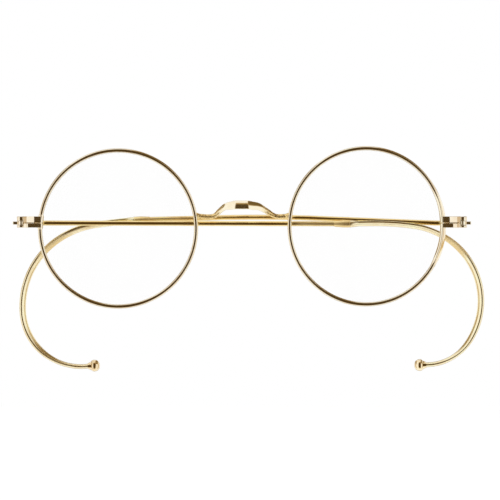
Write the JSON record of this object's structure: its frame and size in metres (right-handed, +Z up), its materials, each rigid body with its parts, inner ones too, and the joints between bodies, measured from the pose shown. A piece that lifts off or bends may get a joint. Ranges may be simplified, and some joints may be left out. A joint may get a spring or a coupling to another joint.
{
  "type": "round eyeglasses",
  "caption": "Round wire-rim eyeglasses with a saddle bridge, split end pieces and hinged wire temples that end in curled ear cables with ball tips, folded shut.",
  "frame": {"origin": "middle of the flat on the nose side of the bridge's crest, where the spectacles sit on the nose", "axes": "+X to the wearer's left, +Y from the front towards the wearer, +Z up as worn; right is at -X"},
  "size_m": [0.122, 0.0103, 0.0581],
  "materials": {
    "frame_gold": "polished gold plate, lightly worn",
    "hinge_gold": "gold plate, darker and satin from handling",
    "cable_gold": "finely wound gold-plated wire",
    "lens_glass": "clear polished glass"
  },
  "bodies": {
    "front": {"right_rim": "frame_gold", "left_rim": "frame_gold", "right_lens": "lens_glass", "left_lens": "lens_glass", "bridge": "frame_gold", "right_joint_upper": "frame_gold", "right_joint_lower": "frame_gold", "left_joint_upper": "frame_gold", "left_joint_lower": "frame_gold", "right_closing_screw": "hinge_gold", "left_closing_screw": "hinge_gold", "right_hinge_screw": "hinge_gold", "left_hinge_screw": "hinge_gold"},
    "right_temple": {"right_temple_butt": "hinge_gold", "right_temple_wire": "frame_gold", "right_ferrule": "frame_gold", "right_cable": "cable_gold", "right_cable_core": "cable_gold", "right_ball_tip": "frame_gold"},
    "left_temple": {"left_temple_butt": "hinge_gold", "left_temple_wire": "frame_gold", "left_ferrule": "frame_gold", "left_cable": "cable_gold", "left_cable_core": "cable_gold", "left_ball_tip": "frame_gold"}
  },
  "joints": [
    {"name": "right_hinge", "type": "hinge", "parent": "front", "child": "right_temple", "pos_m": [-0.0571, 0.00409, -0.0045], "axis": [0, 0, 1], "range_deg": [0, 94.6]},
    {"name": "left_hinge", "type": "hinge", "parent": "front", "child": "left_temple", "pos_m": [0.0571, 0.00409, -0.0045], "axis": [0, 0, -1], "range_deg": [0, 92.6]}
  ]
}
